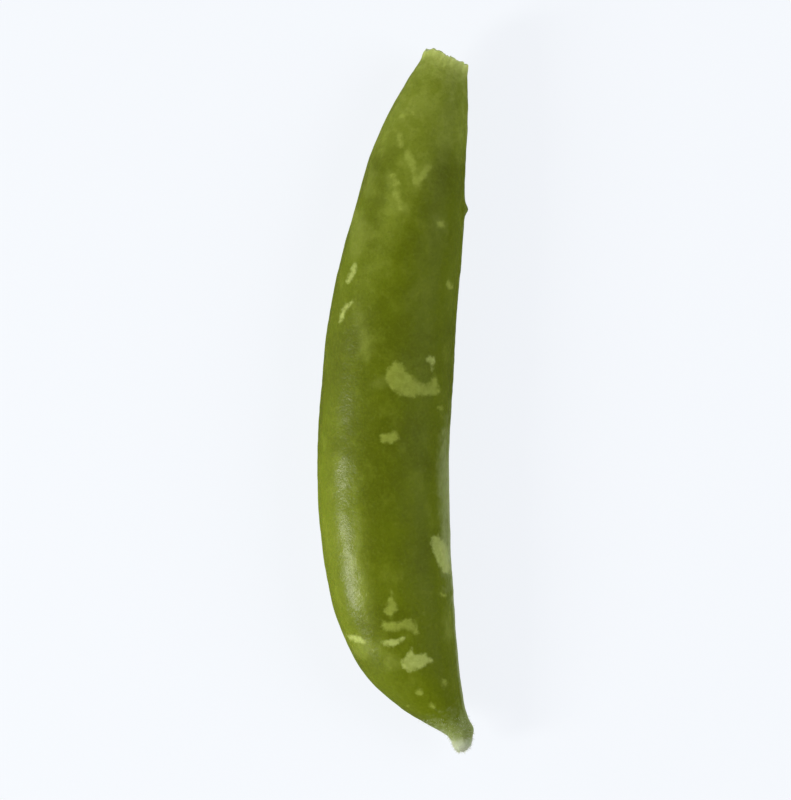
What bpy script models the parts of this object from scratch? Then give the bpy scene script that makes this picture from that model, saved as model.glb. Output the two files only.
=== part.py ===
"""Sugar snap pea pod, picked and lying on its side: one grown piece, so one solid.

Metres, +Z up. The pod lies along Y, its broken stem end at +Y and its blossom tip at -Y. The ventral
suture, the heavier seam over the peas, runs along the nearly straight +X side, and the dorsal seam
along the rounded -X side. The underside rests on Z = 0.

The skin is a loft on two rails, the two seams seen from above. Each ring joins a point of the dorsal
rail to a point of the ventral rail, and its section is an oval, fuller towards the dorsal side.
"""

import math

import bmesh
import bpy
from mathutils import Vector

MM = 0.001

# Driving dimensions in millimetres.
LENGTH = 80.0
# Dorsal rail (x, y), ventral rail (x, y) and half of the thickness there, from stem to tip.
STATIONS = (
    ((3.95, 40.0), (8.2, 37.7), 2.1),
    ((1.0, 35.4), (8.0, 34.0), 2.9),
    ((-2.3, 28.6), (7.8, 27.0), 3.9),
    ((-4.9, 20.2), (7.45, 18.8), 4.7),
    ((-7.1, 11.3), (6.8, 10.6), 5.15),
    ((-8.35, 2.0), (6.3, 2.0), 5.3),
    ((-8.85, -8.0), (5.85, -7.4), 5.3),
    ((-8.05, -17.2), (6.05, -16.8), 5.2),
    ((-6.5, -25.0), (6.65, -25.4), 4.75),
    ((-3.45, -31.1), (7.15, -31.6), 3.8),
    ((0.6, -34.9), (7.65, -34.9), 2.75),
    ((3.8, -36.85), (8.15, -36.4), 1.9),
    ((5.65, -37.95), (8.72, -37.5), 1.5),
    ((6.3, -38.8), (8.65, -38.8), 1.25),
)
TIP_LENGTH, TIP_BLUNTNESS = 1.2, 0.8  # the rounded end beyond the last station; 1 is an ellipsoid
REST_FLAT = 0.25  # how deep the side it lies on is pressed flat
STEM_RISE = 0.5  # the ends leave the level of the middle: the stem end rises
TIP_DROP = 0.9  # and the tip drops
DORSAL_POWER, VENTRAL_POWER = 2.15, 2.1  # exponents of the oval: 2 is an ellipse, more is squarer
DORSAL_FULLNESS = 0.05  # share by which the dorsal half is thicker, and the ventral half thinner
PEAS = 8
PEA_SWELL = 0.08
FIRST_PEA, LAST_PEA = 25.0, -30.0  # Y of the first and the last pea
LIP_HEIGHT, LIP_OFFSET, LIP_WIDTH = 0.2, 0.5, 0.34  # the two lips of the ventral suture
SEAM_HEIGHT, SEAM_WIDTH = 0.12, 0.45  # the single ridge of the dorsal seam
SEAM_FADE = 0.12  # the seams fade over this share of the length at each end
RIM_STEP, RIM_SHARE = 0.2, 0.9  # the broken rim: its rounded edge, and the share of the ring left
PITH_SINK, PITH_SHARE = 0.25, 0.5  # the broken face inside the rim is slightly hollow

POINTS_AROUND = 44
SEAM_CROWDING = 0.4  # points crowd towards both seams by this share
RINGS_PER_STATION = 5
CAP_RINGS = 4

SKIN_COLOR = (0.130, 0.180, 0.014, 1.0)  # fresh pea green, linear
SKIN_ROUGHNESS = 0.42


def smooth_between(values, position):
    """The Catmull-Rom curve through equally spaced values, at a position counted in stations."""
    index = min(int(position), len(values) - 2)
    part = position - index
    before = values[index - 1] if index > 0 else values[0] * 2 - values[1]
    after = values[index + 2] if index + 2 < len(values) else values[-1] * 2 - values[-2]
    start, end = values[index], values[index + 1]
    bend = before * 2 - start * 5 + end * 4 - after
    twist = start * 3 - before - end * 3 + after
    return (start * 2 + (end - before) * part + bend * part**2 + twist * part**3) * 0.5


DORSAL = [Vector((*dorsal, 0.0)) for dorsal, ventral, half in STATIONS]
VENTRAL = [Vector((*ventral, 0.0)) for dorsal, ventral, half in STATIONS]
HALF_THICKNESS = [half for dorsal, ventral, half in STATIONS]
MIDDLE_HEIGHT = max(HALF_THICKNESS) - REST_FLAT


def height_at(y):
    """Height of the pod's middle plane: level in the middle, bent softly at both ends."""
    reach = y / (LENGTH / 2)
    return MIDDLE_HEIGHT + (STEM_RISE if y > 0 else -TIP_DROP) * reach**4


def pea_swell(y):
    """Swell of the walls over the peas, as a cosine between the first and the last pea."""
    pitch = (FIRST_PEA - LAST_PEA) / (PEAS - 1)
    if not LAST_PEA - pitch / 2 < y < FIRST_PEA + pitch / 2:
        return 0.0
    return PEA_SWELL * 0.5 * (1 + math.cos(2 * math.pi * (y - FIRST_PEA) / pitch))


def suture(height, side, fade):
    """How far the seam stands out at a height over the middle plane: two lips, or one ridge."""
    if side > 0:
        lip = math.exp(-(((abs(height) - LIP_OFFSET) / LIP_WIDTH) ** 2))
        return LIP_HEIGHT * lip * fade
    return SEAM_HEIGHT * math.exp(-((height / SEAM_WIDTH) ** 2)) * fade


def ring(position):
    """The points of one section of the pod, at a position counted in stations."""
    dorsal = smooth_between(DORSAL, position)
    ventral = smooth_between(VENTRAL, position)
    half = smooth_between(HALF_THICKNESS, position)
    centre = (dorsal + ventral) / 2
    across = (ventral - dorsal) / 2
    end_share = min(position, len(STATIONS) - 1 - position) / (len(STATIONS) - 1)
    fade = min(end_share / SEAM_FADE, 1.0)
    points = []
    for step in range(POINTS_AROUND):
        turn = 2 * math.pi * step / POINTS_AROUND
        turn -= SEAM_CROWDING / 2 * math.sin(2 * turn)
        cosine, sine = math.cos(turn), math.sin(turn)
        power = VENTRAL_POWER if cosine > 0 else DORSAL_POWER
        wide = math.copysign(abs(cosine) ** (2 / power), cosine)
        tall = math.copysign(abs(sine) ** (2 / power), sine)
        rise = (half + pea_swell(centre.y)) * tall * (1 - DORSAL_FULLNESS * wide)
        out = suture(rise, cosine, fade) * abs(cosine)
        point = centre + across * wide + across.normalized() * math.copysign(out, cosine)
        points.append(Vector((point.x, point.y, height_at(centre.y) + rise)))
    return points


def shrunk(points, share, shift):
    """A ring drawn in towards its centre to a share of its size, and moved."""
    centre = sum(points, Vector()) / len(points)
    return [centre + (point - centre) * share + shift for point in points]


def stem_rings(first):
    """The broken stem end: a rounded rim, then a slightly hollow face."""
    outward = (first[0] - first[POINTS_AROUND // 2]).cross(Vector((0, 0, 1))).normalized() * -1
    yield shrunk(first, PITH_SHARE, outward * (RIM_STEP - PITH_SINK))
    yield shrunk(first, RIM_SHARE, outward * RIM_STEP)


def tip_rings(last):
    """The blunt blossom tip beyond the last station, as rings of nearly a half ellipsoid."""
    outward = (last[0] - last[POINTS_AROUND // 2]).cross(Vector((0, 0, 1))).normalized()
    for step in range(1, CAP_RINGS):
        angle = math.pi / 2 * step / CAP_RINGS
        share = math.cos(angle) ** TIP_BLUNTNESS
        yield shrunk(last, share, outward * TIP_LENGTH * math.sin(angle))


def pod_rings():
    """Every ring from the hollow of the stem end to the last ring of the tip."""
    count = (len(STATIONS) - 1) * RINGS_PER_STATION
    body = [ring(step / RINGS_PER_STATION) for step in range(count + 1)]
    return [*stem_rings(body[0]), *body, *tip_rings(body[-1])]


def centred(rings):
    """The rings moved over the origin, and pressed flat where the pod rests on Z = 0."""
    xs = [point.x for points in rings for point in points]
    ys = [point.y for points in rings for point in points]
    shift = Vector((min(xs) + max(xs), min(ys) + max(ys), 0)) / 2
    for points in rings:
        placed = [point - shift for point in points]
        yield [Vector((point.x, point.y, max(point.z, 0))) for point in placed]


def pod_mesh():
    """The closed skin: rings joined by quads, and each end closed with a fan."""
    skin = bmesh.new()
    rings = [[skin.verts.new(point * MM) for point in points] for points in centred(pod_rings())]
    for here, there in zip(rings, rings[1:]):
        for step in range(POINTS_AROUND):
            following = (step + 1) % POINTS_AROUND
            skin.faces.new((here[step], here[following], there[following], there[step]))
    for end in (rings[0], rings[-1]):
        middle = skin.verts.new(sum((vert.co for vert in end), Vector()) / POINTS_AROUND)
        for step in range(POINTS_AROUND):
            skin.faces.new((end[step], end[(step + 1) % POINTS_AROUND], middle))
    bmesh.ops.recalc_face_normals(skin, faces=skin.faces)
    mesh = bpy.data.meshes.new("pod")
    skin.to_mesh(mesh)
    skin.free()
    mesh.shade_smooth()
    return mesh


def skin_material():
    """Fresh, waxy pod skin."""
    material = bpy.data.materials.new("pod_skin")
    material.use_nodes = True
    shader = material.node_tree.nodes["Principled BSDF"]
    shader.inputs["Base Color"].default_value = SKIN_COLOR
    shader.inputs["Roughness"].default_value = SKIN_ROUGHNESS
    return material


def main():
    for old in list(bpy.data.objects):
        bpy.data.objects.remove(old, do_unlink=True)
    pod = bpy.data.objects.new("pod", pod_mesh())
    pod.data.materials.append(skin_material())
    bpy.context.scene.collection.objects.link(pod)


main()
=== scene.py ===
"""Sugar snap pea pod: its grown skin, the fibres torn at its stem end, the hairs left at its blossom
tip, and a plain studio.

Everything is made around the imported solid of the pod, in metres. The numbers of the pod's shape are in
millimetres of an 80 mm pod, which is fitted to the solid's box. The pod lies along Y, its stem end at
+Y, the ventral seam on the +X side and the dorsal seam on the -X side.
"""

import math

import bpy
import numpy as np
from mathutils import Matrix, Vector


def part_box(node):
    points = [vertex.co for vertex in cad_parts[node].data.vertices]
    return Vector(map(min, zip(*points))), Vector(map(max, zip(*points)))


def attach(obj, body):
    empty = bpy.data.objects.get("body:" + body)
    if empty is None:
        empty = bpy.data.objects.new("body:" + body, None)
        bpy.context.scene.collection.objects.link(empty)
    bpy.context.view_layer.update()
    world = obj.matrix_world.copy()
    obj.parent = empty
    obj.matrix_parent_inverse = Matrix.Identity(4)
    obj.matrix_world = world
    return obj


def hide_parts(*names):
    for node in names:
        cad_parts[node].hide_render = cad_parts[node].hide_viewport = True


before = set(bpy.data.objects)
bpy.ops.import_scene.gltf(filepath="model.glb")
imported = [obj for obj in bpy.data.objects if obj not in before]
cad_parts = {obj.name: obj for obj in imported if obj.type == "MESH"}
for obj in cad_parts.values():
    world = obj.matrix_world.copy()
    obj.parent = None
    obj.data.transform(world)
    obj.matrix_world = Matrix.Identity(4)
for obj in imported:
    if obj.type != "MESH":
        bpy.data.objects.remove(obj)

bl_info = {
    "name": "Sugar snap pea pod",
    "version": (1, 0, 0),
    "blender": (4, 5, 0),
    "location": "3D View > Sidebar > Pea pod",
    "description": "Models a picked sugar snap pea pod lying on its side",
    "category": "Object",
}

MM = 0.001
POD_LOW, POD_HIGH = (np.array(corner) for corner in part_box("pod"))
POD_MIDDLE = (POD_LOW + POD_HIGH) / 2
POD_LENGTH = POD_HIGH[1] - POD_LOW[1]
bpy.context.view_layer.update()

# Dorsal rail (x, y), ventral rail (x, y) and half of the thickness there, from stem to tip.
STATIONS = (
    ((3.95, 40.0), (8.2, 37.7), 2.1),
    ((1.0, 35.4), (8.0, 34.0), 2.9),
    ((-2.3, 28.6), (7.8, 27.0), 3.9),
    ((-4.9, 20.2), (7.45, 18.8), 4.7),
    ((-7.1, 11.3), (6.8, 10.6), 5.15),
    ((-8.35, 2.0), (6.3, 2.0), 5.3),
    ((-8.85, -8.0), (5.85, -7.4), 5.3),
    ((-8.05, -17.2), (6.05, -16.8), 5.2),
    ((-6.5, -25.0), (6.65, -25.4), 4.75),
    ((-3.45, -31.1), (7.15, -31.6), 3.8),
    ((0.6, -34.9), (7.65, -34.9), 2.75),
    ((3.8, -36.85), (8.15, -36.4), 1.9),
    ((5.65, -37.95), (8.72, -37.5), 1.5),
    ((6.3, -38.8), (8.65, -38.8), 1.25),
)
HALF_LENGTH = 40.0
TIP_LENGTH = 1.2  # the rounded end beyond the last station
TIP_BLUNTNESS, TIP_TAPER = 0.8, 0.15  # power of its cosine, and the share it narrows by besides
REST_FLAT, REST_SOFTNESS = 0.25, 0.08  # how deep and how softly it is pressed flat where it lies
STEM_RISE, TIP_DROP = 0.5, 0.9  # how far the two ends leave the level of the middle
DORSAL_POWER, VENTRAL_POWER = 2.15, 2.1  # powers of the section's oval: 2 is an ellipse
DORSAL_FULLNESS = 0.05  # share by which the dorsal half is thicker, and the ventral half thinner

# Relief of the skin, as heights, depths, widths and sizes.
PEAS, FIRST_PEA, LAST_PEA = 8, 25.0, -30.0  # Y of the first and the last pea
PEA_REACH, PEA_STRAY = 2.9, 0.8  # width of a pea's swell, and how far it strays from its step
SEAM_FADE = 0.1  # the seams fade over this share of the length at each end
LIP_OFFSET, LIP_WIDTH = 0.5, 0.3  # the two lips of the ventral suture
CREASE_DEPTH, CREASE_OFFSET = 0.04, 1.15  # a crease outside each lip
GROOVE_DEPTH, GROOVE_WIDTH = 0.1, 0.16  # the groove between the lips
RIDGE_HEIGHT, RIDGE_WIDTH = 0.11, 0.3  # the ridge of the dorsal seam
FURROW_DEPTH, FURROW_OFFSET = 0.03, 0.75  # a furrow on each side of that ridge
VEIN_HEIGHT = 0.014
VEINS = ((0.62, 2.6, 1), (-0.48, 3.4, 2))  # slant, pitch and phase of each set
SHOULDER_WIDTH = 3.2
WAVE_SIZE = 9.0
DENT_DEPTH, DENT_SIZE = 0.035, 2.2
GRAIN = ((0.014, 0.7, 61), (0.01, 0.42, 62))  # height, size and seed of each layer
RIBS, RIB_HEIGHT = 13, 0.02  # folds along the stem end
COLLAR_HEIGHT, DORSAL_COLLAR = 0.07, 0.25  # the swell under the rim, and its dorsal part
WITHERED_DEPTH, WITHERED_SIZE = 0.04, 0.7  # wrinkles near the tip
KNOB_PLACE, KNOB_HEIGHT, KNOB_WIDTH = (7.7, 21.4, 5.2), 0.55, 0.5  # a small knob on the ventral seam
RIM_SLANT, DORSAL_LOSS = 0.05, 0.6  # how the broken end leans, and what its dorsal edge lost
FACE_DEPTH, CORE_HEIGHT, STRAND_HEIGHT = 0.3, 0.22, 0.16  # the broken face inside its rim

AROUND = 240
BODY_ROWS, FACE_ROWS, TIP_ROWS = 356, 24, 16
SEAM_CROWDING = 0.25  # points crowd towards both seams by this share
FACTOR, VALUE_A, VALUE_B, COLOUR_A, COLOUR_B = 0, 2, 3, 6, 7  # sockets of a Mix node
BUMP_DEPTH = 0.036  # depth of the relief that the skin's material adds
LATTICE = 32  # points along a side of the noise's lattice, which then repeats
FIELD_LIMIT = 2.0  # the skin's fields are cut off at plus and minus this
HAIR_REACH = 5.5  # how far from the tip the hairs of the withered style stand
HAIR_BEND, HAIR_TAPER = 1.6, 0.85  # power of a hair's bend, and the share of its radius lost

# The studio, in lengths of the pod.
FLOOR_REACH, BACKDROP_RISE = 14, 10
KEY_PLACE, KEY_SIZE = (-4.7, -1.6, 2.65), (1.2, 2.0)
FILL_PLACE, FILL_SIZE, FILL_SHARE = (4.4, 0.5, 3.5), (4.0, 4.0), 0.6
FLOOR_GLOW, BACKDROP_GLOW = 0.88, 0.94
BRIGHT_SIDE, DIM_SHARE = (-0.9, -0.1, 0.42), 0.15  # the sky's bright side, and the rest's share

# Outlines of the marks where the skin is bleached, as (x, y) on the side that faces up.
BOOT = (
    (0.0, 4.2), (0.9, 3.8), (1.2, 3.0), (2.0, 2.3), (3.4, 1.6), (4.0, 2.0), (4.35, 2.8), (4.7, 2.0),
    (5.0, 0.9), (4.7, 0.35), (2.8, 0.35), (1.6, 0.1), (0.5, 0.35), (-0.7, 1.2), (-1.2, 2.1), (-1.0, 3.2),
)
BOOT_SPOT = ((3.4, 4.4), (3.9, 4.85), (4.45, 4.5), (4.3, 3.8), (4.1, 3.1), (3.8, 3.9))
BRICK = ((-1.75, -4.2), (-0.9, -3.85), (0.35, -3.8), (0.3, -4.6), (-0.6, -5.05), (-1.65, -4.95))
BELL = ((-0.5, -21.6), (-0.1, -22.9), (0.25, -23.7), (-0.5, -24.5), (-1.35, -23.9), (-0.9, -22.8))
HOOK = (
    (-1.5, -25.0), (0.2, -25.15), (1.0, -24.7), (1.8, -24.7), (2.4, -25.4), (2.6, -26.3), (2.0, -26.5),
    (1.5, -25.9), (0.6, -25.95), (-0.4, -26.15), (-1.4, -25.9),
)
SLIVER = ((-1.65, -27.2), (-0.4, -27.0), (1.0, -26.8), (0.9, -27.25), (-0.3, -27.8), (-1.35, -27.65))
STREAK = ((-5.5, -26.7), (-4.4, -26.6), (-3.3, -27.4), (-3.9, -27.7), (-5.0, -27.3))
FISH = (
    (0.6, -29.6), (1.2, -28.8), (1.7, -28.0), (2.2, -28.7), (3.4, -28.65), (4.2, -29.5), (3.4, -30.0),
    (2.7, -30.4), (1.5, -30.8), (0.8, -30.3),
)
EDGE_PATCH = (
    (4.0, -15.6), (4.8, -15.3), (5.5, -16.2), (6.0, -17.0), (6.2, -18.2), (6.1, -19.8), (5.4, -19.6),
    (4.9, -18.9), (4.4, -17.8), (4.0, -16.6),
)
BLEACHED = (BOOT_SPOT, SLIVER, STREAK, FISH, EDGE_PATCH)
HALF_BLEACHED = (BOOT, BRICK, BELL, HOOK)
# Small bleached scratches and half bleached spots, as strokes of (x, y, radius).
SCRATCHES = (
    ((-4.9, 10.9, 0.12), (-5.5, 10.4, 0.24), (-6.0, 9.5, 0.24), (-6.2, 8.6, 0.14)),
    ((-4.5, 15.1, 0.18), (-4.9, 14.0, 0.32), (-5.3, 13.2, 0.26)),
)
SPOTS = (
    ((0.6, 31.8, 0.1), (1.9, 32.0, 0.16)),
    ((2.6, -33.0, 0.38), (2.7, -33.1, 0.38)),
    ((5.4, -32.0, 0.36), (5.6, -32.2, 0.3)),
    ((4.1, -34.6, 0.25), (4.2, -34.7, 0.25)),
    ((6.0, 12.9, 0.3), (6.1, 12.6, 0.3)),
    ((5.1, -22.0, 0.22), (5.5, -22.2, 0.15)),
    ((5.0, -1.0, 0.22), (5.1, -1.1, 0.22)),
    ((1.4, -34.6, 0.1), (1.5, -34.6, 0.1)),
)
# Faded strokes of the same kind, with soft borders.
FADED = (
    ((0.4, 29.7, 0.18), (0.6, 28.6, 0.3)),
    ((-0.3, 25.0, 0.2), (0.1, 24.2, 0.32)),
    ((0.0, 23.2, 0.16), (0.5, 21.4, 0.3)),
    ((1.2, 27.4, 0.26), (1.7, 26.5, 0.42), (2.0, 25.4, 0.24), (2.4, 24.2, 0.4)),
    ((2.5, 24.4, 0.34), (3.0, 25.1, 0.36), (3.6, 25.9, 0.32)),
    ((4.9, 19.6, 0.3), (5.1, 19.5, 0.3)),
)
# Clouds where the skin is a little paler, as soft strokes of the same kind. Two are painted light.
CLOUDS_AND_SHEEN = (
    ((-0.7, 25.4, 0.3), (0.0, 23.2, 0.3), (0.7, 21.2, 0.15)),
    ((1.4, 27.2, 0.3), (1.8, 26.0, 0.3), (2.4, 23.9, 0.3)),
    ((2.5, 24.5, 0.4), (3.0, 25.4, 0.6), (3.6, 26.2, 0.3)),
    ((0.2, 29.4, 0.3), (0.4, 28.3, 0.2)),
    ((1.4, 32.2, 0.7), (3.2, 32.8, 1.4)),
    ((4.9, 20.0, 0.7), (5.1, 19.6, 0.6)),
    ((-4.4, 20.6, 0.8), (-3.8, 18.2, 1.1), (-4.6, 16.4, 0.7)),
    ((-4.7, 18.4, 0.5), (-3.9, 17.2, 0.6)),
    ((-2.9, 25.3, 0.7), (-3.3, 23.4, 0.5)),
    ((-2.4, 1.8, 0.3), (-1.3, 2.2, 0.5)),
    ((-0.7, -29.5, 0.5), (-0.3, -29.9, 0.4)),
    ((-6.3, -13.4, 0.5), (-6.2, -15.4, 0.4)),
    ((-3.6, -28.0, 0.9), (-4.2, -28.6, 0.7)),
    ((5.9, -25.4, 0.5), (6.1, -26.6, 0.5)),
    ((2.5, 38.0, 1.2), (6.0, 36.6, 1.4)),
    # Painted sheen: a soft pale reflection on the dorsal side in the middle.
    ((-4.2, 10.4, 0.4), (-3.7, 7.4, 0.6), (-3.2, 4.4, 0.3)),
    # Painted light: the lit green beside the highlight, towards the tip.
    ((-4.6, -14.0, 0.2), (-4.2, -20.0, 0.7), (-3.4, -25.0, 0.5)),
)
# Fields of the skin: the depths inside the marks, and shares of its other parts.
MARKS = ("bleached", "half_bleached", "faded", "clouds_and_sheen")
# Painted light among these: the wall's lighter green, and a pale sheen by the ventral edge.
PARTS = ("lip", "groove", "ridge", "torn", "downy", "nub", "stemward", "wall", "painted_rim_sheen")
# Number and largest radius of the hidden strokes: bleached, half bleached and cloudy.
HIDDEN = ((7, 0.8), (12, 0.6), (14, 1.1))
# Slanting border of the lighter green at the stem end, as (x, y).
STEM_BORDER = ((6.6, 30.0), (-1.6, 14.0))
# Line along which the dorsal wall turns to the top of the pod, as (x, y) from stem to tip.
SHOULDER = (
    (4.2, 34.0), (2.6, 26.0), (-0.4, 19.0), (-1.8, 10.0), (-2.6, 0.0), (-3.2, -12.0), (-2.6, -24.0),
    (0.4, -32.0),
)


def linear(code):
    """An sRGB hex code as linear red, green and blue."""
    parts = [int(code[start : start + 2], 16) / 255 for start in (1, 3, 5)]
    return [p / 12.92 if p <= 0.04045 else ((p + 0.055) / 1.055) ** 2.4 for p in parts]


class PodShape(bpy.types.PropertyGroup):
    """Sizes of the skin's relief."""

    pea_swell: bpy.props.FloatProperty(
        name="Pea swell",
        description="How far the walls swell over the fullest pea",
        default=0.22 * MM,
        unit="LENGTH",
    )
    lip_height: bpy.props.FloatProperty(
        name="Lip height",
        description="How far the two lips of the ventral suture stand out",
        default=0.2 * MM,
        unit="LENGTH",
    )
    unevenness: bpy.props.FloatProperty(
        name="Unevenness",
        description="Depth of the slow waves in the skin",
        default=0.13 * MM,
        unit="LENGTH",
    )
    shoulder: bpy.props.FloatProperty(
        name="Shoulder",
        description="Height of the soft ridge between the side wall and the top",
        default=0.14 * MM,
        unit="LENGTH",
    )
    tear_depth: bpy.props.FloatProperty(
        name="Tear depth",
        description="How ragged the broken stem end is",
        default=0.24 * MM,
        unit="LENGTH",
    )
    fibres: bpy.props.IntProperty(
        name="Torn fibres",
        description="Number of fibres that stand out of the broken stem end",
        default=70,
        min=0,
    )
    fibre_length: bpy.props.FloatProperty(
        name="Fibre length",
        description="Length of the longest torn fibre",
        default=0.32 * MM,
        unit="LENGTH",
    )
    hairs: bpy.props.IntProperty(
        name="Style hairs",
        description="Number of fine hairs on the blossom tip",
        default=1100,
        min=0,
    )
    hair_length: bpy.props.FloatProperty(
        name="Hair length",
        description="Length of the longest hair on the blossom tip",
        default=0.3 * MM,
        unit="LENGTH",
    )


class PodColours(bpy.types.PropertyGroup):
    """Colours of the skin and of its marks."""

    deep: bpy.props.FloatVectorProperty(
        name="Deep green",
        description="The darkest olive of the skin",
        default=linear("#5B660A"),
        subtype="COLOR",
    )
    fresh: bpy.props.FloatVectorProperty(
        name="Fresh green",
        description="The usual green of the skin",
        default=linear("#65720C"),
        subtype="COLOR",
    )
    stem: bpy.props.FloatVectorProperty(
        name="Stem green",
        description="The lighter green towards the stem",
        default=linear("#798626"),
        subtype="COLOR",
    )
    bleached: bpy.props.FloatVectorProperty(
        name="Bleached green",
        description="The pale marks of the skin",
        default=linear("#ABB760"),
        subtype="COLOR",
    )
    pith: bpy.props.FloatVectorProperty(
        name="Pith",
        description="The pale tissue of the broken stem end",
        default=linear("#C0CC70"),
        subtype="COLOR",
    )


class Studio(bpy.types.PropertyGroup):
    """The camera and the lights."""

    lens: bpy.props.FloatProperty(
        name="Lens",
        description="Focal length on a 36 mm sensor",
        default=200.0,
        unit="CAMERA",
    )
    fill: bpy.props.FloatProperty(
        name="Pod in the picture",
        description="Share of the picture's height that the pod takes",
        default=0.88,
        subtype="FACTOR",
    )
    key_power: bpy.props.FloatProperty(
        name="Key light",
        description="Power of the soft light on the dorsal side",
        default=1.9,
        unit="POWER",
    )
    sky: bpy.props.FloatProperty(
        name="Sky",
        description="Strength of the light from the bright side of the room",
        default=0.5,
    )


def smooth_between(values, position):
    """Catmull-Rom curve through equally spaced values: each stretch is the cubic that leaves and meets
    its two ends along the line between their neighbours."""
    values = np.asarray(values, float)
    padded = np.concatenate([2 * values[:1] - values[1:2], values, 2 * values[-1:] - values[-2:-1]])
    index = np.clip(np.floor(position).astype(int), 0, len(values) - 2)
    part = (position - index).reshape(-1, *[1] * (values.ndim - 1))
    before, start, end, after = (padded[index + step] for step in range(4))
    bend = before * 2 - start * 5 + end * 4 - after
    twist = start * 3 - before - end * 3 + after
    return (start * 2 + (end - before) * part + bend * part**2 + twist * part**3) / 2


def lattice_noise(points, size, seed):
    """Smooth noise from -1 to 1: random values on a cubic lattice of the given size, blended between
    the eight corners of a cell with the smoothstep of the place in the cell."""
    lattice = np.random.default_rng(seed).uniform(-1, 1, (LATTICE, LATTICE, LATTICE))
    cell = np.floor(points / size).astype(int)
    part = points / size - cell
    part = part * part * (3 - 2 * part)
    total = np.zeros(points.shape[:-1])
    for corner in np.ndindex(2, 2, 2):
        weight = np.prod(np.where(corner, part, 1 - part), axis=-1)
        total += weight * lattice[tuple(np.moveaxis((cell + corner) % LATTICE, -1, 0))]
    return total


def layered_noise(points, size, seed, layers=3):
    """Lattice noise summed over layers, each half the size and half the strength of the last."""
    return sum(lattice_noise(points, size / 2**n, seed + n) / 2**n for n in range(layers))


def smoothstep(value, start, end):
    """0 before start and 1 after end, with a cubic between them."""
    part = np.clip((value - start) / (end - start), 0, 1)
    return part * part * (3 - 2 * part)


def bell(distance, width):
    """The bell curve of a distance: 1 at 0, and 1/e at the width."""
    return np.exp(-((distance / width) ** 2))


def from_line(places, start, end):
    """Distance from each place to the nearest point of the line between two points, and that point's
    share of the way."""
    line = end - start
    share = np.clip((places - start) @ line / max(line @ line, 1e-9), 0, 1)
    return np.linalg.norm(places - start - share[..., None] * line, axis=-1), share


def stroke_field(places, strokes):
    """Depth inside the nearest stroke, negative outside it. A stroke is a chain of capsules: the depth
    is the radius, which runs evenly between two points, less the distance to the line between them."""
    depth = np.full(places.shape[:-1], -np.inf)
    for stroke in strokes:
        for start, end in zip(stroke, stroke[1:]):
            away, share = from_line(places, np.array(start[:2]), np.array(end[:2]))
            depth = np.maximum(depth, start[2] + share * (end[2] - start[2]) - away)
    return depth


def outline_field(places, outlines):
    """Depth inside the deepest outline, negative outside them all: the distance to an outline's nearest
    edge, with the sign from how many of its edges a level line from the place crosses."""
    depth = np.full(places.shape[:-1], -np.inf)
    for outline in outlines:
        inside = np.zeros(depth.shape, bool)
        nearest = np.full(depth.shape, np.inf)
        for start, end in zip(np.array(outline), np.roll(outline, -1, axis=0)):
            nearest = np.minimum(nearest, from_line(places, start, end)[0])
            reached = (start[1] > places[..., 1]) != (end[1] > places[..., 1])
            level = (places[..., 1] - start[1]) / (end[1] - start[1] or 1e-9)
            inside ^= reached & (places[..., 0] < start[0] + level * (end[0] - start[0]))
        depth = np.maximum(depth, np.where(inside, nearest, -nearest))
    return depth


def station_curves(position):
    """The two rails and half of the thickness, as smooth curves through the stations."""
    return (smooth_between(column, position) for column in zip(*STATIONS))


def row_positions():
    """Positions of the body's rings, counted in stations: even steps of the travel along the middle,
    where a step counts for more, as 9 mm over the width, when the pod is narrower than 9 mm."""
    fine = np.linspace(0, len(STATIONS) - 1, 4000)
    dorsal, ventral, _ = station_curves(fine)
    width = np.linalg.norm(ventral - dorsal, axis=1)
    step = np.linalg.norm(np.diff((dorsal + ventral) / 2, axis=0), axis=1)
    crowding = 1 / np.clip(width[1:] / 9, 0.3, 1)
    travel = np.concatenate([[0], np.cumsum(step * crowding)])
    return np.interp(np.linspace(0, travel[-1], BODY_ROWS), travel, fine)


def body_rings(position):
    """Rings of the body, without relief, in millimetres, with each point's rise over the middle plane
    and its share across, from -1 at the dorsal seam to 1 at the ventral. A ring is a superellipse
    between its two rail points, and the middle plane bends as the fourth power of Y."""
    dorsal, ventral, half = station_curves(position)
    turn = np.linspace(0, 2 * np.pi, AROUND, endpoint=False)
    turn = turn - SEAM_CROWDING / 2 * np.sin(2 * turn)
    power = np.where(np.cos(turn) > 0, VENTRAL_POWER, DORSAL_POWER)
    wide = np.sign(np.cos(turn)) * np.abs(np.cos(turn)) ** (2 / power)
    tall = np.sign(np.sin(turn)) * np.abs(np.sin(turn)) ** (2 / power)
    middle, across = (dorsal + ventral) / 2, (ventral - dorsal) / 2
    rise = half[:, None] * tall * (1 - DORSAL_FULLNESS * wide)
    reach = middle[:, 1:] / HALF_LENGTH
    level = max(station[2] for station in STATIONS) - REST_FLAT
    level = level + np.where(reach > 0, STEM_RISE, -TIP_DROP) * reach**4
    flat = middle[:, None] + across[:, None] * wide[:, None]
    rings = np.concatenate([flat, (level + rise)[..., None]], axis=2)
    return rings, rise, np.broadcast_to(wide, rise.shape)


def shrunk(ring, share, shift):
    """Rings drawn in from one ring towards its centre to each share, and moved by each shift."""
    centre = ring.mean(axis=0)
    return centre + (ring - centre) * share[:, None, None] + shift[:, None]


def end_direction(ring, sense):
    """The level direction out of the pod at an end ring, square to its two rail points."""
    across = ring[0] - ring[AROUND // 2]
    outward = np.array([-across[1], across[0], 0]) * sense
    return outward / np.linalg.norm(outward)


def grid_normals(grid):
    """Outward unit normals of a grid of rings: the cross product of the two grid directions."""
    along = np.gradient(grid, axis=0)
    around = np.roll(grid, -1, axis=1) - np.roll(grid, 1, axis=1)
    normal = np.cross(around, along)
    length = np.linalg.norm(normal, axis=2, keepdims=True)
    return normal / np.maximum(length, 1e-12)


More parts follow.
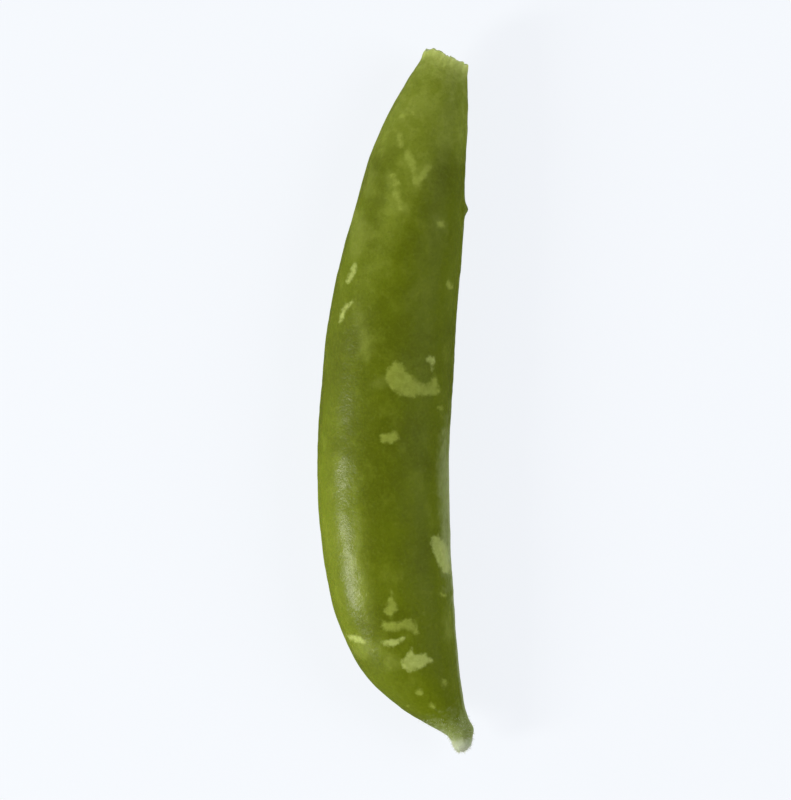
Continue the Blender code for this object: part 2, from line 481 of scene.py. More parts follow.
def fitted(grid):
    """A grid in millimetres moved over the solid's box and scaled to its length, in metres."""
    low, high = grid.min(axis=(0, 1)), grid.max(axis=(0, 1))
    scale = POD_LENGTH / (high[1] - low[1])
    middle = (low + high) / 2
    placed = (grid - middle * (1, 1, 0)) * scale
    return placed + POD_MIDDLE * (1, 1, 0)


def pea_relief(rings, shape):
    """Swell of both walls over a row of peas: a bell for each pea, with a strength of its own."""
    chance = np.random.default_rng(11)
    places = np.linspace(FIRST_PEA, LAST_PEA, PEAS) + chance.uniform(-PEA_STRAY, PEA_STRAY, PEAS)
    strength = chance.uniform(0.35, 1.0, PEAS)
    swell = sum(s * bell(rings[..., 1] - y, PEA_REACH) for y, s in zip(places, strength))
    return shape.pea_swell / MM * swell


def seam_shares(wide):
    """How far each point is on the ventral and on the dorsal edge: smoothsteps of the share across."""
    return smoothstep(wide, 0.6, 0.9), smoothstep(-wide, 0.6, 0.9)


def seam_relief(points, rise, wide, share, shape):
    """The seams: on the ventral edge two lips with a groove between them and a crease outside each, and
    on the dorsal edge one low ridge between two furrows, all of them bells of the distance from the
    seam's middle. They fade at the ends of the pod."""
    fade = smoothstep(np.minimum(share, 1 - share), 0.0, SEAM_FADE)
    uneven = 1 + 0.22 * layered_noise(points, 3.0, 21) + 0.1 * lattice_noise(points, 0.8, 24)
    away = np.abs(rise)
    lips = shape.lip_height / MM * bell(away - LIP_OFFSET, LIP_WIDTH) * uneven
    crease = -CREASE_DEPTH * bell(away - CREASE_OFFSET, LIP_WIDTH)
    groove = -GROOVE_DEPTH * bell(away, GROOVE_WIDTH)
    ridge = RIDGE_HEIGHT * bell(rise, RIDGE_WIDTH) * uneven
    furrow = FURROW_DEPTH * bell(away - FURROW_OFFSET, RIDGE_WIDTH)
    ventral, dorsal = seam_shares(wide)
    return fade * (ventral * (lips + crease + groove) + dorsal * (ridge - furrow))


def vein_relief(points, wide):
    """Faint veins that slant from both seams: narrow ridges where a warped slanting wave crosses 0."""
    warp = 0.9 * layered_noise(points, 5.0, 31)
    relief = 0
    for slant, pitch, phase in VEINS:
        wave = np.sin(np.pi * (points[..., 1] + slant * points[..., 0]) / pitch + 2 * warp + phase)
        relief = relief + VEIN_HEIGHT * (1 - np.abs(wave)) ** 6
    return relief * (1 - smoothstep(np.abs(wide), 0.85, 1.0))


def shoulder_relief(points, shape):
    """The soft ridge where the side wall turns to the top: a bell across the shoulder line, which fades
    at both ends."""
    x, y = np.array(SHOULDER)[::-1].T
    line = np.interp(points[..., 1], y, x)
    fade = smoothstep(points[..., 1], -33, -24) * (1 - smoothstep(points[..., 1], 24, 35))
    return shape.shoulder / MM * bell(points[..., 0] - line, SHOULDER_WIDTH) * fade


def skin_relief(points, rise, wide, share, shape):
    """Height of the skin over the plain rings, in millimetres, as a sum of its causes. Waves, dents,
    grain and wrinkles are noise, ribs are a cosine of the turn, and collar and knob are bells."""
    waves = shape.unevenness / MM * layered_noise(points, WAVE_SIZE, 41, 2)
    dents = DENT_DEPTH * layered_noise(points, DENT_SIZE, 51, 2)
    grain = sum(height * lattice_noise(points, size, seed) for height, size, seed in GRAIN)
    turn = np.arctan2(rise, wide * 4)
    ribs = RIB_HEIGHT * np.cos(RIBS * turn + 3 * lattice_noise(points, 2.0, 71)) * bell(share, 0.05)
    collar = (COLLAR_HEIGHT + DORSAL_COLLAR * smoothstep(-wide, 0.5, 1.0)) * bell(share - 0.006, 0.014)
    wrinkles = WITHERED_DEPTH * layered_noise(points, WITHERED_SIZE, 95, 3)
    withered = wrinkles * smoothstep(share, 0.94, 0.99)
    from_knob = np.linalg.norm((points - KNOB_PLACE) * (1, 0.8, 0.8), axis=2)
    knob = KNOB_HEIGHT * bell(from_knob, KNOB_WIDTH)
    return (
        pea_relief(points, shape) * (1 - bell(np.abs(wide) - 1, 0.2))
        + shoulder_relief(points, shape)
        + seam_relief(points, rise, wide, share, shape)
        + vein_relief(points, wide)
        + waves * (1 - 0.6 * bell(share, 0.06)) * smoothstep(1 - share, 0.0, 0.08)
        + (dents + grain) * smoothstep(1 - share, 0.0, 0.03)
        + ribs
        + collar
        + withered
        + knob
    )


def torn_face(rim, outward):
    """Rings from the middle of the broken end out to its rim: a hollow, with a thin wall that rises as a
    smoothstep near the rim, a core that is a bell, and strands of noise."""
    share = np.linspace(0.03, 0.97, FACE_ROWS)
    wall = smoothstep(share, 0.7, 0.95)
    core = CORE_HEIGHT * bell(share, 0.42)
    rings = shrunk(rim, share, np.outer(-FACE_DEPTH + FACE_DEPTH * wall + core, outward))
    strands = layered_noise(rings, 0.5, 81, 3) * STRAND_HEIGHT * (1 - wall)[:, None]
    return rings + strands[..., None] * outward


def pod_grid(shape):
    """All rings of the pod from the middle of the broken end to the tip, in millimetres, with the
    fields of the skin. Each point of the plain rings moves out square to them by the relief, and near
    the broken end along the pod by noise and a slope, as bells of its distance from the end. The tip is
    the last ring drawn in over a blunt dome. Heights below 0 are lifted softly to it: half the height
    plus half the root of the squares of height and softness."""
    position = row_positions()
    rings, rise, wide = body_rings(position)
    share = np.broadcast_to((position / position[-1])[:, None], rise.shape)
    relief = skin_relief(rings, rise, wide, share, shape)
    lifted = smoothstep(rings[..., 2], -REST_FLAT, 0.8)
    body = rings + grid_normals(rings) * (relief * lifted)[..., None]

    stemward, tipward = end_direction(body[0], 1), end_direction(body[-1], -1)
    from_end = np.linalg.norm(body - body[0], axis=2)
    ragged = layered_noise(body[:1] * (1, 0.2, 1), 0.6, 91, 4)
    teeth = shape.tear_depth / MM * ragged * bell(from_end, 0.9)
    slope = -RIM_SLANT * (rise[:1] + rise[0].max()) * bell(from_end, 2.4)
    slope = slope - DORSAL_LOSS * bell(wide[:1] + 1, 0.2) * bell(from_end, 1.5)
    body = body + (teeth + slope)[..., None] * stemward
    face = torn_face(body[0], stemward)

    angle = np.linspace(0, np.pi / 2, TIP_ROWS + 2)[1:-1]
    taper = np.cos(angle) ** TIP_BLUNTNESS * (1 - TIP_TAPER * np.sin(angle))
    tip = shrunk(body[-1], taper, np.outer(TIP_LENGTH * np.sin(angle), tipward))
    wrinkles = 0.05 * layered_noise(tip, 0.6, 97, 3) * np.sin(angle)[:, None]
    tip = tip + wrinkles[..., None] * tipward

    grid = np.concatenate([face, body, tip])
    height = grid[..., 2]
    grid[..., 2] = (height + np.sqrt(height**2 + REST_SOFTNESS**2)) / 2
    rise, wide = (
        np.concatenate([np.repeat(field[:1], FACE_ROWS, 0), field, np.repeat(field[-1:], TIP_ROWS, 0)])
        for field in (rise, wide)
    )
    from_rim = np.concatenate([np.zeros(face.shape[:2]), from_end, np.full(tip.shape[:2], 99.0)])
    near_tip = np.linalg.norm(grid - tip[-1].mean(axis=0), axis=2)
    return grid, skin_fields(grid, rise, wide, from_rim, near_tip)


def skin_fields(grid, rise, wide, from_rim, near_tip):
    """What the skin's material reads at each point. The marks are depths inside outlines and strokes,
    which are random on the side that faces down. The parts are shares from 0 to 1: smoothsteps and
    bells of the place on the pod, or exponentials of the distance from the rim."""
    places = grid[..., :2]
    up = rise > 0
    hidden = hidden_strokes()
    bleached = np.maximum(outline_field(places, BLEACHED), stroke_field(places, SCRATCHES))
    half_bleached = np.maximum(outline_field(places, HALF_BLEACHED), stroke_field(places, SPOTS))
    skin = np.arange(len(grid))[:, None] >= FACE_ROWS
    ventral, dorsal = seam_shares(wide)
    stemwards, tipwards = places[..., 1], -places[..., 1]
    # Painted reflection on the lips, growing towards the tip, over their own paler string.
    sheen_tipwards = 0.4 + 0.6 * smoothstep(tipwards, 0.0, 10.0)
    # Painted shade: the lighter stem green is held back on the dorsal wall, so that it stays darker
    # there.
    painted_dorsal_shade = 1 - 0.95 * smoothstep(-wide, 0.1, 0.75)
    upper_lip = smoothstep(wide, 0.74, 1.0) * smoothstep(rise, -1.5, 0.5)
    return {
        "bleached": np.where(up, bleached, stroke_field(places, hidden[0])),
        "half_bleached": np.where(up, half_bleached, stroke_field(places, hidden[1])),
        "faded": np.where(up, stroke_field(places, FADED), -FIELD_LIMIT),
        "clouds_and_sheen": np.where(up, stroke_field(places, CLOUDS_AND_SHEEN), stroke_field(places, hidden[2])),
        # Partly painted: the paler string of the suture's lips, with a painted sheen over it.
        "lip": ventral * bell(np.abs(rise) - LIP_OFFSET, 0.4) * skin * sheen_tipwards,
        "groove": ventral * bell(rise, GROOVE_WIDTH) * skin,
        "ridge": dorsal * bell(rise, RIDGE_WIDTH) * skin,
        "torn": 0.75 * np.exp(-from_rim / 1.0) + 0.25 * np.exp(-from_rim / 4.0),
        "downy": 1 - smoothstep(near_tip, 0.5, 8.5),
        "nub": 1 - smoothstep(near_tip, 0.6, 3.0),
        # Painted reflection: a pale sheen on the top near the ventral edge, from the middle towards the
        # tip.
        "painted_rim_sheen": upper_lip * smoothstep(tipwards, -2.0, 8.0) * (1 - smoothstep(tipwards, 15.0, 29.0)),
        # Painted light: the dorsal wall is lighter in colour where the key lamp lights it, most beside
        # the highlight.
        "wall": smoothstep(-wide, 0.0, 0.6) * bell(stemwards + 17.0, 14.0),
        # Partly painted: the lighter green by the stem, with painted shade on the dorsal wall.
        "stemward": np.maximum(
            smoothstep(over_border(places), -1.5, 3.0) * painted_dorsal_shade,
            smoothstep(stemwards, 24.0, 31.0),
        ),
    }


def over_border(places):
    """Distance from the slanting border to each place, towards the stem: the part of the step from the
    border's end that is square to it."""
    high, low = np.array(STEM_BORDER)
    along = (high - low) / np.linalg.norm(high - low)
    step = places - low
    return step[..., 1] * along[0] - step[..., 0] * along[1]


def hidden_strokes():
    """Marks for the side that faces down: short random strokes like those on the other side."""
    chance = np.random.default_rng(5)
    groups = []
    for count, largest in HIDDEN:
        strokes = []
        for y in chance.uniform(-33, 30, count):
            x = chance.uniform(-5.0, 5.0) + 1.5 * (y / 30) ** 2
            stroke = [(x, y, chance.uniform(0.25, largest))]
            for _ in range(chance.integers(1, 4)):
                x, y = x + chance.uniform(-1.4, 1.4), y + chance.uniform(-1.6, 1.6)
                stroke.append((x, y, chance.uniform(0.2, largest)))
            strokes.append(stroke)
        groups.append(strokes)
    return groups


def ring_quads(index):
    """Quads between neighbours on a grid of point numbers, whose last column meets its first."""
    after = np.roll(index, -1, axis=-1)
    corners = (index[..., :-1, :], index[..., 1:, :], after[..., 1:, :], after[..., :-1, :])
    return np.stack(corners, axis=-1).reshape(-1, 4)


def closed_mesh(name, grid, fields):
    """A mesh of a grid of rings: a quad between each pair of neighbours, and a fan of triangles at each
    end to a pole, the mean of its ring. Its map runs once round the rings and once along them."""
    rows, columns = grid.shape[:2]
    poles = grid[[0, -1]].mean(axis=1)
    points = np.concatenate([grid.reshape(-1, 3), poles])
    index = np.arange(rows * columns).reshape(rows, columns)
    after = np.roll(index, -1, axis=1)
    start = np.stack([np.full(columns, len(points) - 2), index[0], after[0]], axis=-1)
    end = np.stack([index[-1], np.full(columns, len(points) - 1), after[-1]], axis=-1)

    mesh = bpy.data.meshes.new(name)
    mesh.from_pydata(points, [], [*ring_quads(index).tolist(), *start.tolist(), *end.tolist()])
    step = np.linalg.norm(np.diff(grid, axis=0), axis=2).mean(axis=1)
    travel = np.concatenate([[0], np.cumsum(step)]) / step.sum()
    u, v = np.arange(columns + 1) / columns, 0.01 + 0.98 * travel
    left, half_way, right = u[:-1], (u[:-1] + u[1:]) / 2, u[1:]
    here, there = v[:-1, None], v[1:, None]
    corners = [
        np.stack([np.stack(np.broadcast_arrays(*corner), axis=-1) for corner in face], axis=-2).ravel()
        for face in (
            ((left, here), (left, there), (right, there), (right, here)),
            ((half_way, 0.0), (left, v[0]), (right, v[0])),
            ((left, v[-1]), (half_way, 1.0), (right, v[-1])),
        )
    ]
    layer = mesh.uv_layers.new(name="OFBake")
    layer.uv.foreach_set("vector", np.concatenate(corners))
    for field, values in fields.items():
        at_poles = values[[0, -1]].mean(axis=1)
        store = mesh.attributes.new(field, "FLOAT", "POINT")
        values = np.concatenate([values.ravel(), at_poles]).clip(-FIELD_LIMIT, FIELD_LIMIT)
        store.data.foreach_set("value", values)
    mesh.shade_smooth()
    return mesh


def hair_mesh(name, foot, direction, lean, length, width):
    """Fine hairs in one mesh. Each is a cone of five sides and four rings: its axis leaves the foot in
    its direction and bends towards its lean as a power of the way, and its radius falls evenly."""
    rings, sides = 4, 5
    share = np.linspace(0, 1, rings)[None, :, None]
    bent = direction[:, None] * share + lean[:, None] * share**HAIR_BEND
    axis = foot[:, None] + bent * length[:, None, None]
    side = np.cross(direction, (0.2, 0.3, 1.0))
    side /= np.linalg.norm(side, axis=1, keepdims=True)
    other = np.cross(direction, side)
    turn = 2 * np.pi * np.arange(sides) / sides
    circle = np.cos(turn)[:, None] * side[:, None] + np.sin(turn)[:, None] * other[:, None]
    radius = width[:, None, None, None] * (1 - HAIR_TAPER * share[..., None])
    points = axis[:, :, None] + radius * circle[:, None]
    points[..., 2] = np.maximum(points[..., 2], 0)

    index = np.arange(len(foot) * rings * sides).reshape(-1, rings, sides)
    ends = [*index[:, 0].tolist(), *index[:, -1, ::-1].tolist()]
    mesh = bpy.data.meshes.new(name)
    mesh.from_pydata(points.reshape(-1, 3), [], [*ring_quads(index).tolist(), *ends])
    mesh.shade_smooth()
    return mesh


def torn_fibre_mesh(shape):
    """Torn fibres that stand out along the pod, from the rim of the stem end to half way in."""
    placed = fitted(pod_grid(shape)[0])
    rim, outward = placed[FACE_ROWS], end_direction(placed[FACE_ROWS], 1)
    chance = np.random.default_rng(17)
    count = shape.fibres
    foot = rim[chance.integers(0, AROUND, count)]
    inward = rim.mean(axis=0) - foot
    foot = foot + inward * chance.uniform(0.02, 0.5, (count, 1)) - outward * 0.25 * MM
    lean = chance.normal(0, 0.45, (count, 3)) + inward / np.linalg.norm(inward, axis=1)[:, None] * 0.1
    length = shape.fibre_length * chance.uniform(0.35, 1.0, count) ** 1.5
    width = chance.uniform(0.07, 0.15, count) * MM
    return hair_mesh("torn_fibres", foot, np.tile(outward, (count, 1)), lean, length, width)


def style_hair_mesh(shape):
    """The hairs left of the withered style, square to the skin and bent towards the blossom tip. The
    distance of each from the tip, along the skin, is a power of an even draw, so more stand near it."""
    placed = fitted(pod_grid(shape)[0])
    chance = np.random.default_rng(23)
    count = shape.hairs
    step = np.linalg.norm(np.diff(placed[::-1], axis=0), axis=2).mean(axis=1)
    row = -2 - np.searchsorted(np.cumsum(step), HAIR_REACH * MM * chance.uniform(0, 1, count) ** 1.4)
    column = chance.integers(0, AROUND, count)
    foot, direction = placed[row, column], grid_normals(placed)[row, column]
    tipward = end_direction(placed[-TIP_ROWS - 1], -1)
    lean = chance.normal(0, 0.3, (count, 3)) + tipward * 0.25
    length = shape.hair_length * chance.uniform(0.2, 1.0, count) ** 1.3
    width = chance.uniform(0.012, 0.022, count) * MM
    return hair_mesh("style_hairs", foot - direction * 0.03 * MM, direction, lean, length, width)


def add(tree, kind, inputs=None, **settings):
    """Adds a node, with its settings, and its inputs each linked to a socket or given a value."""
    node = tree.nodes.new(kind)
    for name, value in settings.items():
        setattr(node, name, value)
    for name, value in (inputs or {}).items():
        if isinstance(value, bpy.types.NodeSocket):
            tree.links.new(value, node.inputs[name])
        else:
            node.inputs[name].default_value = value
    return node


def new_material(name):
    """An empty material and its node tree."""
    material = bpy.data.materials.new(name)
    material.use_nodes = True
    material.node_tree.nodes.clear()
    return material, material.node_tree


def grown_pod_skin(colours):
    """Fresh pea pod skin, grown: a waxy cuticle over soft green flesh. It gives a satin shine that fine
    leathery grain breaks up, slow drifts of green, and pale marks with ragged edges. Some of its colour
    is painted light: a lighter dorsal wall where the key lamp falls, painted shade on that wall by the
    stem, painted sheen near the ventral seam and in some clouds, and painted highlights on the torn rim."""
    material, tree = new_material("grown_pod_skin")
    place = add(tree, "ShaderNodeTexCoord").outputs["Object"]
    field = {
        name: add(tree, "ShaderNodeAttribute", attribute_name=name).outputs["Fac"]
        for name in (*MARKS, *PARTS)
    }
    noise = {}
    # Each noise's lump size in millimetres, its stretch along the pod and its layers.
    for name, size, stretch, detail in (
        ("drift", 9.0, 1.0, 2),  # slow change of green along the pod
        ("marble", 2.2, 0.75, 4),  # clouds of paler flesh under the skin
        ("mottle", 1.1, 1.0, 3),  # patches of cells
        ("edge", 0.6, 1.0, 5),  # ragged edge of the marks
        ("grain", 0.32, 1.0, 3),  # leathery grain, drawn about twice its real size so that it shows
    ):
        slanted = {"Vector": place, "Rotation": (0, 0, math.radians(20)), "Scale": (1, stretch, 1)}
        warped = place if stretch == 1.0 else add(tree, "ShaderNodeMapping", slanted).outputs[0]
        inputs = {"Vector": warped, "Scale": 1 / (size * MM), "Detail": detail, "Roughness": 0.6}
        noise[name] = add(tree, "ShaderNodeTexNoise", inputs).outputs["Fac"]
    # Leathery cells half a millimetre across, and pale dots 1.3 mm apart.
    cells = add(tree, "ShaderNodeTexVoronoi", {"Vector": place, "Scale": 1 / (0.5 * MM)})
    dots = add(tree, "ShaderNodeTexVoronoi", {"Vector": place, "Scale": 1 / (1.3 * MM)})

    ragged = {}
    # Each field is shifted by a noise, up to half of the reach either way, which frays its borders.
    for name, source, reach in (
        ("bleached", "edge", 0.8),
        ("half_bleached", "edge", 0.85),
        ("clouds_and_sheen", "marble", 2.8),
        ("faded", "edge", 0.9),
        ("torn", "edge", 0.7),
        ("downy", "edge", 1.6),
        ("nub", "mottle", 1.3),
        ("painted_rim_sheen", "mottle", 1.1),
        ("stemward", "marble", 1.0),
        ("wall", "marble", 1.0),
        ("lip", "mottle", 0.8),
        ("ridge", "mottle", 0.8),
    ):
        inputs = {0: noise[source], 1: reach, 2: -reach / 2}
        shift = add(tree, "ShaderNodeMath", inputs, operation="MULTIPLY_ADD").outputs[0]
        ragged[name] = add(tree, "ShaderNodeMath", {0: field[name], 1: shift}).outputs[0]

    # The marks are thinner in patches.
    inputs = {0: noise["edge"], 1: 0.36, 2: 0.62, 3: 0.66, 4: 1.0}
    gate = dict.fromkeys(MARKS, add(tree, "ShaderNodeMapRange", inputs).outputs[0])
    # Each of these stays inside its own field, whatever the noise adds.
    for name, source, full in (
        ("blotch", ragged["stemward"], 1.1),
        *((name, field[name], 0.25) for name in ("lip", "ridge", "painted_rim_sheen", "downy", "nub")),
    ):
        inputs = {0: source, 1: 0.0, 2: full}
        gate[name] = add(tree, "ShaderNodeMapRange", inputs).outputs[0]

    mask, colour = {}, (*colours.deep, 1)
    # Layers of colour over the deep green, lowest first: what each reads, the values of that between
    # which it comes in, its strength and its colour.
    for name, source, low, high, most, tint in (
        ("drift", noise["drift"], 0.35, 0.65, 1.0, colours.fresh),
        # Partly painted: lighter green towards the stem, held back on the dorsal wall as painted shade.
        ("stemward", ragged["stemward"], 0.0, 1.1, 0.95, colours.stem),
        # Painted light: the lighter green of the dorsal wall, where the key lamp falls.
        ("wall", ragged["wall"], 0.1, 1.1, 0.64, linear("#76841A")),
        ("marble", noise["marble"], 0.48, 0.75, 0.19, linear("#8A972E")),
        ("mottle", noise["mottle"], 0.48, 0.75, 0.19, linear("#7C891E")),
        ("blotch", noise["mottle"], 0.46, 0.64, 0.3, linear("#97A346")),
        ("shade", noise["grain"], 0.5, 0.28, 0.24, linear("#444E04")),
        ("glow", noise["grain"], 0.5, 0.72, 0.16, linear("#8C9830")),
        ("dots", dots.outputs["Distance"], 0.16, 0.04, 0.12, linear("#95A048")),
        # Partly painted: paler clouds of the skin, and strokes of painted sheen and painted light.
        ("clouds_and_sheen", ragged["clouds_and_sheen"], -0.8, 1.0, 0.36, linear("#98A448")),
        ("faded", ragged["faded"], -0.32, 0.3, 0.76, linear("#9BA747")),
        ("half_bleached", ragged["half_bleached"], -0.22, 0.3, 0.86, linear("#9BA745")),
        ("bleached", ragged["bleached"], -0.2, 0.28, 1.0, colours.bleached),
        # Painted reflection: the pale sheen on the top near the ventral edge.
        ("painted_rim_sheen", ragged["painted_rim_sheen"], 0.1, 1.2, 0.55, linear("#9FAA74")),
        # Partly painted: the suture's paler string, and a painted sheen of grazing reflection over it.
        ("lip", ragged["lip"], 0.1, 1.1, 0.75, linear("#A3AD7C")),
        ("groove", field["groove"], 0.2, 1.0, 0.6, linear("#434D10")),
        ("ridge", ragged["ridge"], 0.3, 1.1, 0.35, linear("#97A25C")),
        ("downy", ragged["downy"], 0.1, 1.0, 0.75, linear("#94A163")),
        ("nub", ragged["nub"], 0.0, 1.1, 0.9, linear("#C2C9AC")),
        ("torn", ragged["torn"], 0.03, 1.0, 1.0, colours.pith),
        # Partly painted: frayed pale tissue at the rim, with painted highlights on it.
        ("frayed_and_highlight", ragged["torn"], 0.75, 1.15, 0.8, linear("#D3DB9E")),
    ):
        inputs = {0: source, 1: low, 2: high, 3: 0.0, 4: most}
        share = add(tree, "ShaderNodeMapRange", inputs, interpolation_type="SMOOTHSTEP").outputs[0]
        if name in gate:
            inputs = {0: share, 1: gate[name]}
            share = add(tree, "ShaderNodeMath", inputs, operation="MULTIPLY").outputs[0]
        inputs = {FACTOR: share, COLOUR_A: colour, COLOUR_B: (*tint, 1)}
        colour = add(tree, "ShaderNodeMix", inputs, data_type="RGBA").outputs[2]
        mask[name] = share

    roughness = 0.31  # satin, and duller where the cuticle is worn, torn or withered
    for name, value in (("shade", 0.6), ("bleached", 0.5), ("groove", 0.6), ("torn", 0.85), ("nub", 0.7)):
        inputs = {FACTOR: mask[name], VALUE_A: roughness, VALUE_B: value}
        roughness = add(tree, "ShaderNodeMix", inputs).outputs[0]

    # Relief too fine for the mesh, each part by its share of the bump's depth.
    height = 0.0
    for source, weight in (
        (noise["grain"], 1.0),
        (cells.outputs["Distance"], -0.25),
        (noise["mottle"], 0.5),
        (mask["bleached"], -0.2),
        (mask["torn"], 0.6),
    ):
        inputs = {0: source, 1: weight, 2: height}
        height = add(tree, "ShaderNodeMath", inputs, operation="MULTIPLY_ADD").outputs[0]
    bump = add(tree, "ShaderNodeBump", {"Height": height, "Strength": 1.0, "Distance": BUMP_DEPTH * MM})

    shader = add(
        tree,
        "ShaderNodeBsdfPrincipled",
        {
            "Base Color": colour,
            "Roughness": roughness,
            "IOR": 1.45,
            "Specular IOR Level": 0.2,
            "Subsurface Weight": 0.1,
            "Subsurface Radius": (0.5, 1.0, 0.2),
            "Subsurface Scale": 0.8 * MM,
            "Normal": bump.outputs[0],
        },
    )
    add(tree, "ShaderNodeOutputMaterial", {"Surface": shader.outputs[0]})
    return material


def dry_fibre_material(name, pale, green, patch):
    """Plant fibre, dried: it has hardly any shine, and drifts between two colours in patches."""
    material, tree = new_material(name)
    place = add(tree, "ShaderNodeTexCoord").outputs["Object"]
    noise = add(tree, "ShaderNodeTexNoise", {"Vector": place, "Scale": 1 / patch, "Detail": 2})
    inputs = {FACTOR: noise.outputs["Fac"], COLOUR_A: (*pale, 1), COLOUR_B: (*green, 1)}
    colour = add(tree, "ShaderNodeMix", inputs, data_type="RGBA")
    inputs = {"Base Color": colour.outputs[2], "Roughness": 0.8, "Specular IOR Level": 0.3}
    shader = add(tree, "ShaderNodeBsdfPrincipled", inputs)
    add(tree, "ShaderNodeOutputMaterial", {"Surface": shader.outputs[0]})
    return material


def torn_fibre_material(colours):
    """Plant fibre, torn and dried: pale green straw with greener patches."""
    return dry_fibre_material("torn_plant_fibre", colours.pith, linear("#8E9A4A"), 0.8 * MM)


def style_hair_material():
    """Plant hair, withered: nearly white, which gives the tip a soft pale edge."""
    return dry_fibre_material("withered_plant_hair", linear("#DDE0CC"), linear("#B4BC92"), 0.5 * MM)


def light_table_material(glow):
    """Opal acrylic, cast, lit from below as on a light table: nearly white and without shine, and the
    shadows on it stay faint."""
    material, tree = new_material("opal_acrylic")
    inputs = {
        "Base Color": (*linear("#5E6062"), 1),
        "Roughness": 0.85,
        "Specular IOR Level": 0.0,
        "Emission Color": (*linear("#F7FAFF"), 1),
        "Emission Strength": glow,
    }
    shader = add(tree, "ShaderNodeBsdfPrincipled", inputs)
    add(tree, "ShaderNodeOutputMaterial", {"Surface": shader.outputs[0]})
    return material


def linked_object(name, data):
    """A new object of the data, in the scene."""
    made = bpy.data.objects.new(name, data)
    bpy.context.scene.collection.objects.link(made)
    return made


class OBJECT_OT_pod_skin(bpy.types.Operator):
    """Makes the pod's skin and its material"""

    bl_idname = "object.pod_skin"
    bl_label = "Pod skin"

    def execute(self, context):
        grid, fields = pod_grid(context.scene.pod_shape)
        skin = linked_object("pod_skin", closed_mesh("pod_skin", fitted(grid), fields))
        skin.data.materials.append(grown_pod_skin(context.scene.pod_colours))
        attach(skin, "root")
        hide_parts("pod")
        return {"FINISHED"}


class OBJECT_OT_torn_fibres(bpy.types.Operator):
    """Makes the fibres that stand out of the broken stem end"""

    bl_idname = "object.torn_fibres"
    bl_label = "Torn fibres"

    def execute(self, context):
        fibres = linked_object("torn_fibres", torn_fibre_mesh(context.scene.pod_shape))
        fibres.data.materials.append(torn_fibre_material(context.scene.pod_colours))
        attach(fibres, "root")
        return {"FINISHED"}


class OBJECT_OT_style_hairs(bpy.types.Operator):
    """Makes the fine hairs left of the withered style at the blossom tip"""

    bl_idname = "object.style_hairs"
    bl_label = "Style hairs"

    def execute(self, context):
        hairs = linked_object("style_hairs", style_hair_mesh(context.scene.pod_shape))
        hairs.data.materials.append(style_hair_material())
        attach(hairs, "root")
        return {"FINISHED"}


class OBJECT_OT_pod_studio(bpy.types.Operator):
    """Makes the floor, the lights and the camera"""

    bl_idname = "object.pod_studio"
    bl_label = "Studio"

    def execute(self, context):
        studio = context.scene.pod_studio
        add_floor()
        add_lamps(studio)
        add_sky(studio)
        add_camera(studio)
        return {"FINISHED"}


def add_floor():
    """The floor, a disc, and the backdrop round it, which starts level at its edge and rises as a
    quarter of a circle. The backdrop neither lights nor shades the pod."""
    reach, rise = FLOOR_REACH * POD_LENGTH, BACKDROP_RISE * POD_LENGTH
    angle = np.linspace(0, np.pi / 2, 24)
    level = np.stack([np.linspace(0.002, reach, 12), np.zeros(12)])
    wall = np.stack([reach + rise * np.sin(angle), rise * (1 - np.cos(angle))])
    for name, profile, glow in (("floor", level, FLOOR_GLOW), ("backdrop", wall, BACKDROP_GLOW)):
        made = linked_object(name, turned_mesh(name, *profile))
        made.data.materials.append(light_table_material(glow))
        made.visible_glossy = False
        made.visible_diffuse = made.visible_shadow = name == "floor"


def add_lamps(studio):
    """Two soft lamps aimed at the pod: the key beside its dorsal wall, and a fill that faces it without
    a highlight."""
    for name, place, size, power, tint in (
        ("key", KEY_PLACE, KEY_SIZE, studio.key_power, "#FFFDF4"),
        ("fill", FILL_PLACE, FILL_SIZE, studio.key_power * FILL_SHARE, "#FFFFFF"),
    ):
        data = bpy.data.lights.new(name, "AREA")
        data.shape = "RECTANGLE"
        data.size, data.size_y = (side * POD_LENGTH for side in size)
        data.energy = power
        data.color = linear(tint)
        place = POD_MIDDLE + np.array(place) * POD_LENGTH
        lamp = linked_object(name, data)
        lamp.location = place
        lamp.rotation_euler = aimed_from(place)
        lamp.visible_glossy = name != "fill"


def add_sky(studio):
    """A sky that is brightest on one side: a smoothstep of how far a direction faces that side."""
    sky = bpy.data.worlds.new("studio_sky")
    sky.use_nodes = True
    tree = sky.node_tree
    direction = add(tree, "ShaderNodeTexCoord").outputs["Generated"]
    inputs = {0: direction, 1: BRIGHT_SIDE}
    facing = add(tree, "ShaderNodeVectorMath", inputs, operation="DOT_PRODUCT").outputs["Value"]
    inputs = {0: facing, 1: 0.3, 2: 1.0, 3: studio.sky * DIM_SHARE, 4: studio.sky}
    strength = add(tree, "ShaderNodeMapRange", inputs, interpolation_type="SMOOTHSTEP").outputs[0]
    background = tree.nodes["Background"]
    background.inputs["Color"].default_value = (*linear("#F4F7FB"), 1)
    tree.links.new(strength, background.inputs["Strength"])
    bpy.context.scene.world = sky
    bpy.context.scene.view_settings.view_transform = "Standard"


def add_camera(studio):
    """The camera, straight over the pod, as far away as lets the pod fill its share of the picture."""
    data = bpy.data.cameras.new("camera")
    data.lens = studio.lens
    data.clip_start, data.clip_end = 0.01, 10.0
    camera = linked_object("camera", data)
    half_view = data.sensor_width / 2 / studio.lens
    distance = POD_LENGTH / studio.fill / 2 / half_view
    camera.location = POD_MIDDLE + np.array((0, 0, distance))
    bpy.context.scene.camera = camera


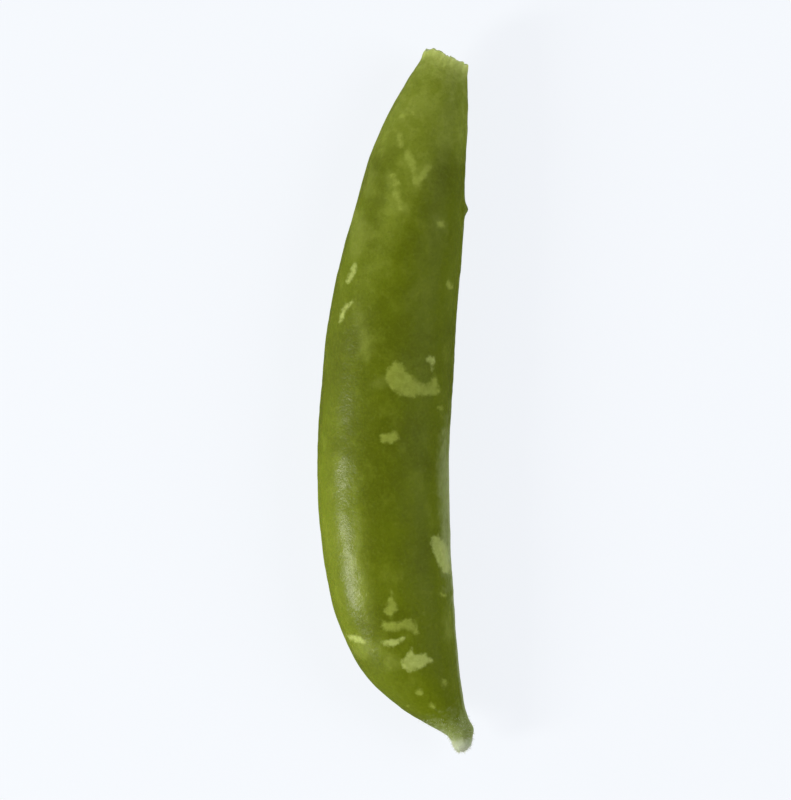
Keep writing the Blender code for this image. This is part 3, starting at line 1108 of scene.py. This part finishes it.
def aimed_from(place):
    """The turn that points a lamp from its place to the middle of the pod."""
    away = place - POD_MIDDLE
    turn = math.atan2(away[1], away[0]) + math.pi / 2
    tilt = math.acos(away[2] / np.linalg.norm(away))
    return (tilt, 0, turn)


def turned_mesh(name, radius, height):
    """A profile of radius and height turned about the vertical through the origin, and closed in the
    middle if it starts near it."""
    steps = 96
    turn = np.linspace(0, 2 * np.pi, steps, endpoint=False)
    across, along = np.outer(radius, np.cos(turn)), np.outer(radius, np.sin(turn))
    grid = np.stack([across, along, np.repeat(height[:, None], steps, axis=1)], axis=-1)
    index = np.arange(len(radius) * steps).reshape(-1, steps)
    middle = [index[0].tolist()] if radius[0] < 0.01 * radius[-1] else []
    mesh = bpy.data.meshes.new(name)
    mesh.from_pydata(grid.reshape(-1, 3), [], [*ring_quads(index).tolist(), *middle])
    mesh.shade_smooth()
    return mesh


class VIEW3D_PT_pea_pod(bpy.types.Panel):
    """Lists the pod's pieces and settings"""

    bl_label = "Sugar snap pea pod"
    bl_idname = "VIEW3D_PT_pea_pod"
    bl_space_type = "VIEW_3D"
    bl_region_type = "UI"
    bl_category = "Pea pod"

    def draw(self, context):
        for group in (context.scene.pod_shape, context.scene.pod_colours, context.scene.pod_studio):
            for name in group.bl_rna.properties.keys():
                if name not in ("rna_type", "name"):
                    self.layout.prop(group, name)
        for operator in OPERATORS:
            self.layout.operator(operator.bl_idname)


OPERATORS = (OBJECT_OT_pod_skin, OBJECT_OT_torn_fibres, OBJECT_OT_style_hairs, OBJECT_OT_pod_studio)
GROUPS = {"pod_shape": PodShape, "pod_colours": PodColours, "pod_studio": Studio}
CLASSES = (*GROUPS.values(), *OPERATORS, VIEW3D_PT_pea_pod)


def register():
    for made in CLASSES:
        bpy.utils.register_class(made)
    for name, group in GROUPS.items():
        setattr(bpy.types.Scene, name, bpy.props.PointerProperty(type=group))


def unregister():
    for name in GROUPS:
        delattr(bpy.types.Scene, name)
    for made in reversed(CLASSES):
        bpy.utils.unregister_class(made)


def main():
    register()
    bpy.ops.object.pod_skin()
    bpy.ops.object.torn_fibres()
    bpy.ops.object.style_hairs()
    bpy.ops.object.pod_studio()


if __name__ == "__main__":
    main()
